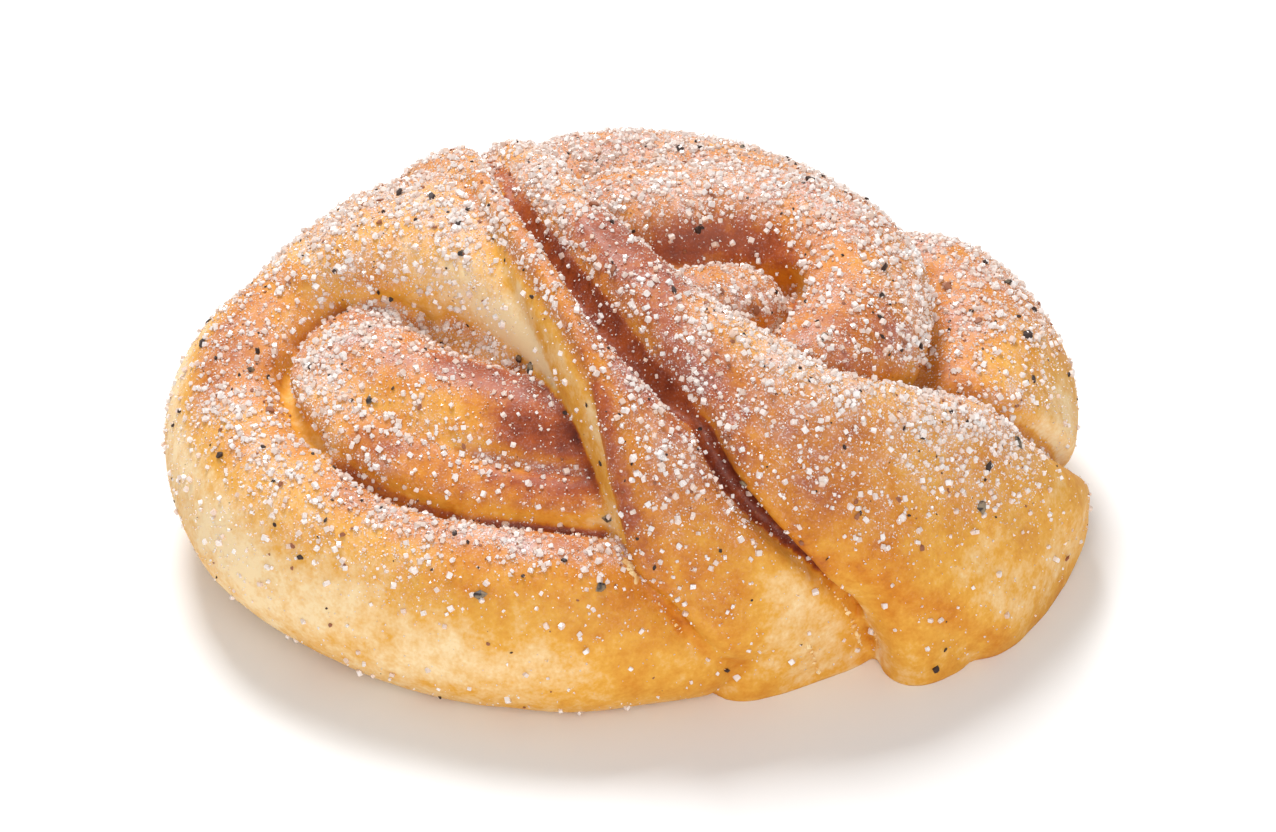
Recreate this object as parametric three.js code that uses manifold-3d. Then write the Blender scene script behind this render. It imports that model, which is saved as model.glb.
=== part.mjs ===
// Cardamom bun: strands of sweet dough wound into two coils under a pair of flat straps.
// The strands bake together, so the bun is one closed solid with a flat base.
// Millimetres, +Z up. The origin is the centre of the footprint, on the base.
// +X runs towards the right coil, -Y towards the straps' wide front ends.

import * as THREE from 'three';
import { mergeVertices } from 'three/addons/utils/BufferGeometryUtils.js';
import Module from 'manifold-3d';

// Driving dimensions.
const LENGTH = 110;            // along X, across both coils
const DEPTH = 90;              // along Y, front to back
const HEIGHT = 42;             // along Z, from the flat base to the ridge between the coils

// Crust.
const CRUST_COLOUR = '#d9a066';
const CRUST_ROUGHNESS = 0.6;

// The dough under the strands, as shares of half the length, half the depth and the height.
const CORE_SHARES = [0.8, 0.75, 0.76];
const CORE_SIDES = 32;
const CORE_RINGS = 16;

// A strand's mesh.
const SIDES = 16;              // points around a section
const STEPS_PER_STATION = 3;   // rings from one station to the next
const CAP_RINGS = 3;           // rings in each rounded end
const SHORTEST_EDGE = 0.03;    // slivers thinner than this, where strands meet, are merged away
const ROUND_POWER = 0.85;      // 1 is an ellipse, less is squarer
const FLAT_POWER = 0.6;
const FLAT_STRANDS = ['strap_left', 'strap_right'];

// Each strand passes through its stations: x, y, z, half width, half height, tilt.
// x is in hundredths of half the length, y of half the depth, and the next three of the height.
// The tilt is in degrees, and lifts the edge on the right of the way that the strand runs.
const STRANDS = {
  ring_left: [
    [29, -57, 15, 20, 22, 0], [13, -69, 19, 24, 26, 0], [-15, -76, 22, 27, 27, 0],
    [-44, -67, 23, 27, 28, 0], [-68, -47, 28, 27, 29, 0], [-78, -19, 31, 26, 28, 0],
    [-76, 0, 37, 26, 27, 0], [-68, 10, 45, 22, 24, 0], [-53, 14, 52, 20, 21, 0],
  ],
  ring_back: [
    [-73, 9, 27, 27, 27, 0], [-64, 32, 29, 29, 29, 0], [-45, 52, 32, 30, 30, 0],
    [-22, 61, 34, 29, 29, 0],
  ],
  curl_left: [
    [-75, 20, 29, 17, 20, 0], [-74, 16, 46, 15, 17, 0], [-66, 11, 59, 12, 15, 0],
    [-53, 11, 61, 10, 12, 0],
  ],
  tongue_low: [
    [25, -55, 37, 20, 20, 0], [-4, -59, 39, 18, 18, 0], [-29, -57, 39, 20, 18, 0],
    [-51, -44, 41, 21, 20, 0], [-60, -24, 45, 21, 21, 0], [-55, -5, 48, 20, 20, 0],
  ],
  tongue_high: [
    [22, -50, 41, 20, 20, 0], [-4, -47, 48, 20, 18, 0], [-25, -39, 51, 20, 20, 0],
    [-42, -28, 52, 22, 21, 0], [-51, -12, 51, 21, 20, 0], [-45, 0, 54, 15, 16, 0],
  ],
  flap: [
    [-73, 18, 34, 20, 22, 0], [-64, 20, 49, 23, 23, 0], [-49, 20, 63, 27, 22, 0],
    [-33, 9, 72, 22, 20, 0], [-19, -11, 73, 17, 18, 0], [-9, -32, 68, 13, 15, 0],
    [0, -50, 59, 10, 12, 0],
  ],
  strap_left: [
    [-42, 60, -5, 24, 15, 0], [-47, 69, 15, 24, 15, 0], [-45, 58, 44, 18, 15, 0],
    [-38, 42, 66, 14, 16, 0], [-31, 23, 79, 11, 15, 10], [-21, -7, 84, 11, 13, 15],
    [-11, -31, 82, 12, 13, 18], [-3, -49, 76, 13, 13, 18], [5, -60, 66, 17, 15, 15],
    [12, -68, 51, 22, 18, 10], [20, -71, 35, 25, 21, 5], [27, -70, 20, 26, 20, 0],
    [32, -66, 0, 26, 20, 0],
  ],
  strap_right: [
    [-27, 66, -5, 24, 15, 0], [-32, 76, 15, 24, 15, 0], [-31, 66, 44, 18, 15, 0],
    [-27, 46, 66, 14, 16, 0], [-22, 27, 79, 12, 15, 0], [-15, 5, 84, 13, 15, -8],
    [-6, -17, 84, 16, 15, -12], [5, -35, 80, 19, 15, -12], [17, -48, 73, 21, 16, -12],
    [32, -59, 62, 23, 16, -10], [50, -60, 49, 28, 16, -8], [64, -55, 35, 32, 16, -4],
    [75, -47, 18, 35, 17, 0], [78, -42, 2, 35, 17, 0],
  ],
  fold_right: [
    [33, -58, 62, 6, 8, 0], [43, -67, 50, 8, 9, 0], [51, -73, 34, 10, 9, 0],
    [57, -75, 17, 10, 9, 0], [59, -73, 2, 10, 9, 0],
  ],
  ring_right: [
    [-25, 56, 34, 31, 31, 0], [-7, 66, 35, 33, 34, 0], [15, 63, 35, 33, 34, 0],
    [34, 50, 34, 33, 33, 0], [47, 31, 33, 32, 31, 0], [55, 11, 34, 28, 26, 0],
  ],
  lobe_right: [
    [51, 27, 38, 22, 24, 0], [63, 24, 38, 28, 28, 0], [70, 7, 33, 32, 31, 0],
    [68, -18, 30, 31, 31, 0], [63, -37, 26, 26, 26, 0],
  ],
  coil_right: [
    [-18, 18, 66, 20, 21, 0], [-2, 24, 68, 21, 21, 0], [16, 27, 69, 21, 21, 0],
    [33, 23, 68, 21, 21, 0], [44, 9, 67, 21, 21, 0], [46, -11, 65, 20, 21, 0],
    [40, -30, 63, 20, 21, 0], [27, -41, 59, 20, 20, 0],
  ],
  knob_right: [
    [27, -10, 65, 12, 15, 0], [18, -12, 70, 15, 16, 0], [9, -20, 70, 15, 16, 0],
    [15, -34, 68, 15, 16, 0],
  ],
  rim: [
    [-37, 39, 83, 2.5, 3.5, 0], [-33, 23, 90, 2.5, 4, 0], [-26, -2, 94, 2.5, 4, 0],
    [-19, -22, 94, 2.5, 4, 0], [-14, -38, 91, 2.5, 4, 0], [-10, -52, 85, 2.5, 4, 0],
    [-6, -67, 76, 2.5, 4, 0], [-2, -78, 63, 2.5, 4, 0], [3, -86, 49, 2.5, 4, 0],
    [9, -90, 30, 3, 4, 0],
  ],
};

const wasm = await Module();
wasm.setup();

// A power that keeps its sign, which turns a circle into a superellipse.
function signedPower(value, power) {
  return Math.sign(value) * Math.abs(value) ** power;
}

// The direction out of the bun's domed envelope at a point.
function outward(point) {
  const slope = new THREE.Vector3(
    point.x / (LENGTH / 2) ** 2,
    point.y / (DEPTH / 2) ** 2,
    point.z / HEIGHT ** 2,
  );
  return slope.normalize();
}

// The strand's sections: centre, half sizes, and the directions across and out of the strand.
function strandSections(stations) {
  const centres = stations.map(([x, y, z]) => new THREE.Vector3(
    (x * LENGTH) / 200,
    (y * DEPTH) / 200,
    (z * HEIGHT) / 100,
  ));
  const shapes = stations.map(([, , , halfWidth, halfHeight, tilt]) => new THREE.Vector3(
    (halfWidth * HEIGHT) / 100,
    (halfHeight * HEIGHT) / 100,
    THREE.MathUtils.degToRad(tilt),
  ));
  const path = new THREE.CatmullRomCurve3(centres, false, 'catmullrom', 0.5);
  const sizes = new THREE.CatmullRomCurve3(shapes, false, 'catmullrom', 0.5);
  const steps = (stations.length - 1) * STEPS_PER_STATION;

  const sections = [];
  for (let step = 0; step <= steps; step += 1) {
    const share = step / steps;
    const centre = path.getPoint(share);
    const size = sizes.getPoint(share);
    const along = path.getTangent(share);
    const across = along.clone().cross(outward(centre)).normalize();
    across.applyAxisAngle(along, -size.z);
    const out = across.clone().cross(along).normalize();
    sections.push({ centre, along, across, out, halfWidth: size.x, halfHeight: size.y });
  }
  return sections;
}

// The rings of a strand's rounded end, from the section outwards; the tip is added apart.
function capSections(section, sign) {
  const reach = sign * Math.min(section.halfWidth, section.halfHeight);
  const rings = [];
  for (let ring = 1; ring < CAP_RINGS; ring += 1) {
    const angle = (ring / CAP_RINGS) * (Math.PI / 2);
    rings.push({
      ...section,
      centre: section.centre.clone().addScaledVector(section.along, reach * Math.sin(angle)),
      halfWidth: section.halfWidth * Math.cos(angle),
      halfHeight: section.halfHeight * Math.cos(angle),
    });
  }
  const tip = section.centre.clone().addScaledVector(section.along, reach);
  return { rings, tip };
}

// A superellipse of the section's size, as points around its centre.
function ringPoints({ centre, across, out, halfWidth, halfHeight }, power) {
  const points = [];
  for (let side = 0; side < SIDES; side += 1) {
    const angle = (side / SIDES) * 2 * Math.PI;
    const width = halfWidth * signedPower(Math.cos(angle), power);
    const height = halfHeight * signedPower(Math.sin(angle), power);
    points.push(centre.clone().addScaledVector(across, width).addScaledVector(out, height));
  }
  return points;
}

// A closed strand: rings of points joined by quads, with a fan at each tip.
function strandGeometry(stations, power) {
  const sections = strandSections(stations);
  const start = capSections(sections[0], -1);
  const end = capSections(sections[sections.length - 1], 1);
  const rings = [...start.rings.reverse(), ...sections, ...end.rings];
  const points = [...rings.flatMap((ring) => ringPoints(ring, power)), start.tip, end.tip];

  const faces = [];
  const startTip = points.length - 2;
  const endTip = points.length - 1;
  const lastRing = (rings.length - 1) * SIDES;
  for (let side = 0; side < SIDES; side += 1) {
    const next = (side + 1) % SIDES;
    faces.push(startTip, side, next);
    faces.push(endTip, lastRing + next, lastRing + side);
    for (let ring = 0; ring < lastRing; ring += SIDES) {
      faces.push(ring + side, ring + SIDES + side, ring + next);
      faces.push(ring + next, ring + SIDES + side, ring + SIDES + next);
    }
  }
  const geometry = new THREE.BufferGeometry().setFromPoints(points);
  geometry.setIndex(faces);
  return geometry;
}

// The domed dough under the strands, with its centre on the base.
function coreGeometry() {
  const geometry = new THREE.SphereGeometry(1, CORE_SIDES, CORE_RINGS);
  geometry.rotateX(Math.PI / 2);
  geometry.scale(
    (CORE_SHARES[0] * LENGTH) / 2,
    (CORE_SHARES[1] * DEPTH) / 2,
    CORE_SHARES[2] * HEIGHT,
  );
  geometry.deleteAttribute('normal');
  geometry.deleteAttribute('uv');
  return mergeVertices(geometry);
}

// A block that fills everything below the base.
function belowBaseGeometry() {
  const geometry = new THREE.BoxGeometry(2 * LENGTH, 2 * DEPTH, HEIGHT);
  geometry.translate(0, 0, -HEIGHT / 2);
  geometry.deleteAttribute('normal');
  geometry.deleteAttribute('uv');
  return mergeVertices(geometry);
}

function toSolid(geometry) {
  const mesh = new wasm.Mesh({
    numProp: 3,
    vertProperties: Float32Array.from(geometry.attributes.position.array),
    triVerts: Uint32Array.from(geometry.index.array),
  });
  return new wasm.Manifold(mesh);
}

function toGeometry(solid) {
  const mesh = solid.getMesh();
  const geometry = new THREE.BufferGeometry();
  geometry.setAttribute('position', new THREE.BufferAttribute(mesh.vertProperties, mesh.numProp));
  geometry.setIndex(new THREE.BufferAttribute(mesh.triVerts, 1));
  return geometry;
}

// Stretches the bun so that its box is exactly the driving dimensions, centred on the origin.
function fitToDimensions(geometry) {
  geometry.computeBoundingBox();
  const { min, max } = geometry.boundingBox;
  geometry.translate(-(min.x + max.x) / 2, -(min.y + max.y) / 2, -min.z);
  geometry.scale(LENGTH / (max.x - min.x), DEPTH / (max.y - min.y), HEIGHT / (max.z - min.z));
}

function bun() {
  let solid = toSolid(coreGeometry());
  for (const [name, stations] of Object.entries(STRANDS)) {
    const power = FLAT_STRANDS.includes(name) ? FLAT_POWER : ROUND_POWER;
    solid = solid.add(toSolid(strandGeometry(stations, power)));
  }
  solid = solid.subtract(toSolid(belowBaseGeometry()));
  const geometry = toGeometry(solid.simplify(SHORTEST_EDGE));
  fitToDimensions(geometry);
  geometry.computeVertexNormals();
  const crust = new THREE.MeshStandardMaterial({
    color: CRUST_COLOUR,
    roughness: CRUST_ROUGHNESS,
    metalness: 0,
  });
  const mesh = new THREE.Mesh(geometry, crust);
  mesh.name = 'bun';
  return mesh;
}

const part = new THREE.Group();
part.add(bun());

export default part;
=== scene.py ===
"""A cardamom bun: plaited dough, sugar crystals and crushed cardamom, made by operators."""

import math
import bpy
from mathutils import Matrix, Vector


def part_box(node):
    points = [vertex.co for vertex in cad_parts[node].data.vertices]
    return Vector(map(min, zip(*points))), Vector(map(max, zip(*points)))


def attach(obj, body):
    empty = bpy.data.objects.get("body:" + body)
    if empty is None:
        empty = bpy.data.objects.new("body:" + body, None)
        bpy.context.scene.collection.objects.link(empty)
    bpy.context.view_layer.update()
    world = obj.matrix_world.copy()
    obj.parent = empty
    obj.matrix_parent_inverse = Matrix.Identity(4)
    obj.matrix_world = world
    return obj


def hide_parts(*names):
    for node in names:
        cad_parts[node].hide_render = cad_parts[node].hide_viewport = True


bl_info = {
    "name": "Cardamom Bun",
    "version": (1, 0, 0),
    "blender": (4, 5, 0),
    "location": "View3D > Sidebar > Bun",
    "description": "Bakes a plaited bun and strews it with sugar and crushed cardamom",
    "category": "Add Mesh",
}

import bmesh
import bpy
import numpy as np
from bpy.props import FloatProperty, FloatVectorProperty, IntProperty, PointerProperty
from bpy.types import Operator, Panel, PropertyGroup
from mathutils import Vector

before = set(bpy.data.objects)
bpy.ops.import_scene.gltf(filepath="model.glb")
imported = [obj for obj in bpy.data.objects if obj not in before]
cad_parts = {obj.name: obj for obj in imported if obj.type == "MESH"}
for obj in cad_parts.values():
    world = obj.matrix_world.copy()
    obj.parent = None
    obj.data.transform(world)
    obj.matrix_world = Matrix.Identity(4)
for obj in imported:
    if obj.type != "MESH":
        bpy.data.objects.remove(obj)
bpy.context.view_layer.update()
BOX_LOW, BOX_HIGH = (np.array(corner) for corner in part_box("bun"))
LENGTH, DEPTH, HEIGHT = BOX_HIGH - BOX_LOW
HALF_AXES = np.array([LENGTH / 2, DEPTH / 2, HEIGHT])
MM = 0.001

# The dough under the strands, as shares of half the length, half the depth and the height.
CORE_SHARES = (0.8, 0.75, 0.76)

# Each strand passes through its stations: x, y, z, half width, half height, tilt.
# x is in hundredths of half the length, y of half the depth, and the next three of the height.
# The tilt is in degrees, and lifts the edge on the right of the way that the strand runs.
STRANDS = {
    "ring_left": (
        (29, -57, 15, 20, 22, 0), (13, -69, 19, 24, 26, 0), (-15, -76, 22, 27, 27, 0),
        (-44, -67, 23, 27, 28, 0), (-68, -47, 28, 27, 29, 0), (-78, -19, 31, 26, 28, 0),
        (-76, 0, 37, 26, 27, 0), (-68, 10, 45, 22, 24, 0), (-53, 14, 52, 20, 21, 0),
    ),
    "ring_back": (
        (-73, 9, 27, 27, 27, 0), (-64, 32, 29, 29, 29, 0), (-45, 52, 32, 30, 30, 0),
        (-22, 61, 34, 29, 29, 0),
    ),
    "curl_left": (
        (-75, 20, 29, 17, 20, 0), (-74, 16, 46, 15, 17, 0), (-66, 11, 59, 12, 15, 0),
        (-53, 11, 61, 10, 12, 0),
    ),
    "tongue_low": (
        (25, -55, 37, 20, 20, 0), (-4, -59, 39, 18, 18, 0), (-29, -57, 39, 20, 18, 0),
        (-51, -44, 41, 21, 20, 0), (-60, -24, 45, 21, 21, 0), (-55, -5, 48, 20, 20, 0),
    ),
    "tongue_high": (
        (22, -50, 41, 20, 20, 0), (-4, -47, 48, 20, 18, 0), (-26, -40, 50, 20, 20, 0),
        (-46, -31, 49, 23, 21, 0), (-57, -13, 49, 22, 20, 0), (-51, 0, 54, 15, 16, 0),
    ),
    "flap": (
        (-73, 18, 34, 20, 22, 0), (-64, 20, 49, 23, 23, 0), (-49, 20, 65, 27, 22, 0),
        (-33, 9, 74, 22, 20, 0), (-18, -11, 75, 17, 18, 0), (-8, -32, 70, 14, 16, 0),
        (0, -50, 59, 10, 12, 0),
    ),
    "strap_left": (
        (-42, 60, -5, 24, 15, 0), (-47, 69, 15, 24, 15, 0), (-45, 58, 44, 18, 15, 0),
        (-38, 43, 68, 14, 16, 0), (-31, 23, 79, 11, 15, 10), (-21, -7, 84, 11, 13, 15),
        (-11, -31, 82, 12, 13, 18), (-3, -49, 76, 13, 13, 18), (5, -60, 66, 17, 15, 15),
        (12, -68, 51, 22, 18, 10), (19, -71, 35, 26, 21, 5), (26, -69, 20, 26, 20, 0),
        (31, -64, 0, 26, 20, 0),
    ),
    "strap_right": (
        (-27, 66, -5, 24, 15, 0), (-32, 76, 15, 24, 15, 0), (-31, 66, 44, 18, 15, 0),
        (-27, 47, 67, 14, 16, 0), (-22, 27, 79, 12, 15, 0), (-15, 5, 84, 13, 15, -8),
        (-6, -17, 84, 16, 15, -12), (5, -35, 80, 18, 15, -12), (18, -47, 73, 20, 16, -12),
        (31, -58, 63, 24, 16, -6), (48, -59, 51, 29, 16, -2), (63, -54, 36, 33, 16, 2),
        (75, -45, 18, 34, 17, 2), (78, -40, 2, 33, 17, 0),
    ),
    "fold_right": (
        (33, -58, 62, 6, 8, 0), (43, -68, 51, 8, 9, 0), (51, -73, 34, 10, 9, 0),
        (58, -74, 17, 12, 10, 0), (61, -71, 2, 14, 10, 0),
    ),
    "ring_right": (
        (-25, 56, 34, 31, 31, 0), (-7, 66, 35, 33, 34, 0), (15, 63, 35, 33, 34, 0),
        (34, 50, 34, 33, 33, 0), (47, 31, 33, 32, 31, 0), (55, 11, 34, 28, 26, 0),
    ),
    "lobe_right": (
        (51, 27, 38, 22, 24, 0), (63, 24, 38, 28, 28, 0), (70, 7, 33, 32, 31, 0),
        (68, -18, 30, 31, 31, 0), (63, -37, 26, 26, 26, 0),
    ),
    "coil_right": (
        (-18, 18, 66, 20, 21, 0), (-2, 24, 68, 21, 21, 0), (16, 27, 69, 21, 21, 0),
        (33, 23, 68, 21, 21, 0), (44, 9, 67, 21, 21, 0), (46, -11, 65, 20, 21, 0),
        (40, -30, 63, 20, 21, 0), (27, -41, 59, 20, 20, 0),
    ),
    "knob_right": (
        (27, -10, 65, 12, 15, 0), (18, -12, 70, 15, 16, 0), (9, -20, 70, 15, 16, 0),
        (15, -34, 68, 15, 16, 0),
    ),
    "rim": (
        (-37, 39, 84, 3.5, 4.5, 0), (-33, 23, 91, 3.5, 5, 0), (-26, -2, 95, 3.5, 5, 0),
        (-19, -22, 95, 3.5, 5, 0), (-13, -38, 92, 3.5, 5, 0), (-8, -52, 86, 3.5, 5, 0),
        (-4, -67, 77, 3.5, 5, 0), (-1, -78, 64, 3.5, 5, 0), (3, -86, 49, 3.5, 5, 0),
        (9, -90, 30, 3, 4, 0),
    ),
}
FLAT_STRANDS = ("strap_left", "strap_right")
ROUND_POWER = 0.85  # 1 is an ellipse, less is squarer
FLAT_POWER = 0.6
STRAND_STEPS = 96  # places along a strand that distances are measured from

# Where two strands meet, the skin is drawn in: upper strand, lower strand, from share, to share of
# the upper one, depth, half width, and how far the upper one's edge swells, all three in mm, then
# how far the crease leans to the left, as a share of its depth, and its browning and sugar. A dark
# crease's browning is partly real crust and partly painted shade. The deepest row gives a place its
# shape, and the last row that reaches it has the most say in its browning and sugar.
CREASES = (
    ("strap_left", "flap", 0.00, 1.00, 0.3, 0.8, 0.1, 0.0, -0.05, 0.05),
    ("rim", "flap", 0.00, 1.00, 0.5, 0.6, 0.1, -0.4, 0.00, 0.05),
    ("strap_right", "strap_left", 0.20, 0.34, 2.4, 0.9, 0.4, 0.3, 0.62, 0.25),
    ("strap_right", "strap_left", 0.34, 0.62, 3.8, 1.0, 0.5, 0.5, 0.74, 0.12),
    ("strap_right", "strap_left", 0.62, 0.78, 3.4, 0.8, 1.0, -0.1, 0.80, 0.08),
    ("strap_right", "strap_left", 0.78, 1.00, 3.0, 0.8, 1.0, -0.2, 0.50, 0.00),
    ("strap_right", "flap", 0.20, 0.70, 1.5, 1.2, 0.2, 0.4, 0.72, 0.08),
    ("rim", "strap_left", 0.10, 0.90, 0.5, 0.5, 0.1, 0.0, 0.45, 0.30),
    ("rim", "tongue_high", 0.00, 1.00, 2.2, 0.8, 0.3, -0.5, 0.55, 0.10),
    ("rim", "tongue_low", 0.00, 1.00, 2.2, 0.8, 0.3, -0.5, 0.55, 0.10),
    ("rim", "ring_left", 0.00, 1.00, 2.0, 0.8, 0.4, -0.5, 0.50, 0.10),
    ("strap_left", "ring_left", 0.50, 0.86, 2.0, 0.6, 0.7, -0.3, 0.42, 0.00),
    ("strap_left", "ring_left", 0.86, 0.95, 1.4, 0.6, 0.5, -0.3, 0.30, 0.00),
    ("strap_right", "coil_right", 0.00, 1.00, 2.0, 0.9, 0.4, 0.3, 0.62, 0.30),
    ("strap_right", "knob_right", 0.00, 1.00, 2.0, 0.9, 0.4, 0.3, 0.62, 0.30),
    ("strap_right", "lobe_right", 0.00, 1.00, 2.2, 1.0, 0.5, 0.3, 0.40, 0.20),
    ("strap_right", "ring_right", 0.00, 1.00, 1.6, 1.0, 0.2, 0.0, 0.45, 0.40),
    ("tongue_low", "ring_left", 0.00, 0.42, 2.0, 0.8, 0.3, 0.0, 0.74, 0.20),
    ("tongue_low", "ring_left", 0.42, 0.66, 2.4, 0.8, 0.4, -0.3, 0.62, 0.10),
    ("tongue_low", "ring_left", 0.66, 0.88, 2.8, 0.9, 0.4, -0.3, 0.24, 0.00),
    ("tongue_high", "ring_left", 0.62, 0.86, 2.6, 0.9, 0.3, -0.3, 0.24, 0.00),
    ("tongue_low", "ring_left", 0.88, 1.00, 2.6, 0.9, 0.4, -0.3, 0.48, 0.15),
    ("tongue_high", "tongue_low", 0.00, 0.45, 0.9, 0.7, 0.3, 0.0, 0.55, 0.70),
    ("flap", "tongue_high", 0.30, 1.00, 1.4, 1.0, 0.1, 0.0, 0.30, 1.00),
    ("coil_right", "ring_right", 0.00, 1.00, 2.4, 1.2, 0.3, 0.0, 0.45, 0.40),
    ("coil_right", "lobe_right", 0.00, 1.00, 3.0, 1.2, 0.3, 0.4, 0.58, 0.25),
    ("coil_right", "knob_right", 0.00, 1.00, 3.0, 1.2, 0.3, 0.0, 0.66, 0.15),
)
CREASE_FADE = 0.04  # half the way over which a row begins or ends, as a share of the strand
LIP_PLACE = 2.6  # the middle of the swollen edge, in half widths of the crease
LIP_REACH = 0.5  # how far it goes off the upper strand, in mm

# Where the oven and the sugar reached, with painted shade in some walls and grooves and painted
# light on the flap's wall: strand, from share, to share, side in degrees, reach in mm, browning,
# sugar. The side is 0 at the strand's right edge, 90 on top and 180 at its left edge. Browning runs
# from 0, pale, to 1, nearly black, and is a little below 0 where even the mottles stay pale, which
# on the flap's wall is painted light. Sugar runs from 0, bare, to 1, covered.
BANDS = (
    ("ring_left", 0.00, 0.12, 60, 7, 0.26, 0.03),
    ("ring_left", 0.14, 0.30, 60, 5, 0.37, 0.10),
    ("ring_left", 0.14, 0.28, 117, 5, 0.25, 0.00),
    ("ring_left", 0.28, 0.50, 100, 7, 0.07, 0.00),
    ("ring_left", 0.50, 0.72, 95, 7, 0.03, 0.12),
    ("ring_left", 0.36, 0.48, 56, 4, 0.17, 0.40),
    ("ring_left", 0.50, 0.60, 47, 4, 0.30, 0.60),
    ("ring_left", 0.62, 0.78, 50, 5, 0.46, 0.50),
    ("ring_left", 0.10, 0.45, 27, 2.4, 0.46, 0.95),
    # The ring's inner wall on the left: brown crust, darkened further as painted shade.
    ("ring_left", 0.72, 0.95, -20, 5, 0.66, 0.10),
    ("ring_left", 0.56, 0.68, -8, 1.8, 0.10, 0.00),
    ("ring_left", 0.12, 0.45, 5, 0.9, 0.66, 0.20),
    ("ring_back", 0.00, 1.00, 90, 10, 0.34, 0.35),
    ("tongue_low", 0.62, 0.80, 67, 6, 0.32, 0.85),
    ("tongue_low", 0.45, 0.60, 60, 3.4, 0.50, 0.22),
    ("tongue_low", 0.10, 0.38, 56, 2.5, 0.62, 0.15),
    ("tongue_low", 0.15, 0.42, 25, 1.1, 0.42, 1.00),
    ("tongue_high", 0.62, 0.95, 45, 5, 0.46, 0.80),
    ("tongue_high", 0.20, 0.50, 45, 3.5, 0.72, 0.28),
    ("tongue_high", 0.18, 0.36, 85, 3.4, 0.78, 0.06),
    ("tongue_high", 0.48, 0.62, 90, 3, 0.33, 0.25),
    # Painted light: the flap's lower wall kept at the palest dough, without darker mottles, as if
    # lit.
    ("flap", 0.62, 0.98, 30, 4.5, -0.14, 0.00),
    ("flap", 0.52, 0.66, 40, 4, 0.00, 0.20),
    ("flap", 0.34, 0.52, 80, 7, 0.30, 0.95),
    ("flap", 0.15, 0.34, 60, 6, 0.22, 0.70),
    ("flap", 0.55, 0.78, -12, 1.8, 0.35, 0.90),
    ("flap", 0.50, 0.80, 125, 2.2, 0.74, 0.10),
    ("strap_left", 0.05, 0.30, 90, 9, 0.32, 0.60),
    ("strap_left", 0.34, 0.44, 75, 4, 0.44, 0.60),
    ("strap_left", 0.48, 0.64, 75, 3.5, 0.58, 0.48),
    ("strap_left", 0.64, 0.74, 85, 4.5, 0.45, 0.58),
    ("strap_left", 0.76, 0.83, 80, 5, 0.42, 0.16),
    ("strap_left", 0.88, 1.00, 95, 8, 0.16, 0.00),
    # Painted shade: the cut edge at the strap's end, darker where it lies in shade.
    ("strap_left", 0.90, 1.00, 135, 3, 0.26, 0.00),
    ("strap_left", 0.40, 0.66, 10, 2.6, 0.08, 0.00),
    # Real dark brown with painted shade: the left wall of the groove between the straps.
    ("strap_left", 0.44, 0.60, 140, 1.8, 0.68, 0.15),
    ("rim", 0.00, 0.32, 75, 2.2, 0.40, 0.55),
    ("rim", 0.34, 0.56, 65, 2.0, 0.44, 0.38),
    ("rim", 0.56, 1.00, 85, 1.6, 0.38, 0.25),
    ("rim", 0.60, 0.82, 70, 1.3, 0.56, 0.20),
    ("rim", 0.56, 0.76, -20, 0.8, 0.10, 0.03),
    ("strap_right", 0.05, 0.30, 90, 9, 0.34, 0.70),
    ("strap_right", 0.34, 0.42, 110, 3.6, 0.40, 0.90),
    ("strap_right", 0.44, 0.56, 115, 4.4, 0.64, 0.34),
    ("strap_right", 0.58, 0.68, 89, 4.5, 0.64, 0.45),
    ("strap_right", 0.68, 0.76, 75, 5, 0.48, 0.26),
    ("strap_right", 0.78, 0.88, 105, 6, 0.30, 0.48),
    ("strap_right", 0.86, 0.96, 65, 7, 0.17, 0.00),
    ("strap_right", 0.92, 1.00, 105, 7, 0.18, 0.02),
    ("strap_right", 0.57, 0.86, 142, 4, 0.30, 1.00),
    # Real dark brown with painted shade: the groove between the straps, this row and the next.
    ("strap_right", 0.34, 0.60, 38, 1.9, 0.74, 0.18),
    ("strap_right", 0.60, 0.74, 22, 1.4, 0.76, 0.12),
    ("fold_right", 0.10, 0.60, 69, 3, 0.36, 0.02),
    ("fold_right", 0.60, 1.00, 80, 3, 0.30, 0.00),
    ("strap_right", 0.76, 1.00, 25, 1.5, 0.22, 0.02),
    ("strap_right", 0.68, 0.98, 42, 2.4, 0.36, 0.03),
    ("coil_right", 0.05, 0.52, 8, 3.4, 0.68, 0.10),
    ("coil_right", 0.05, 0.55, 68, 3.6, 0.46, 0.95),
    ("coil_right", 0.62, 0.78, 107, 4, 0.40, 0.80),
    ("coil_right", 0.80, 0.92, 95, 4, 0.55, 0.30),
    ("knob_right", 0.05, 0.70, 90, 4, 0.44, 0.75),
    ("ring_right", 0.00, 0.60, 39, 8, 0.44, 0.80),
    ("ring_right", 0.60, 1.00, 50, 7, 0.36, 0.75),
    ("lobe_right", 0.20, 0.50, 52, 7, 0.44, 0.75),
    ("lobe_right", 0.58, 0.75, 66, 5, 0.26, 0.50),
    ("lobe_right", 0.72, 1.00, 104, 6, 0.06, 0.10),
)
BAND_PLACES = 24  # places along a band that its reach is measured from
OWN_SKIN = 0.7 * MM  # how far a band goes past its own strand's skin

# Torn edges, with crumbs of dough: strand, from share, to share, side, crumbs, length in mm.
TORN_EDGES = (
    ("strap_left", 0.745, 0.775, 5, 16, 1.2),
    ("strap_left", 0.74, 0.86, -5, 18, 0.7),
    ("strap_left", 0.93, 0.99, 95, 20, 0.8),
    ("strap_left", 0.93, 0.99, 130, 22, 0.9),
    ("strap_right", 0.74, 0.98, -8, 34, 0.7),
    ("strap_right", 0.95, 1.00, 20, 18, 0.9),
)

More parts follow.
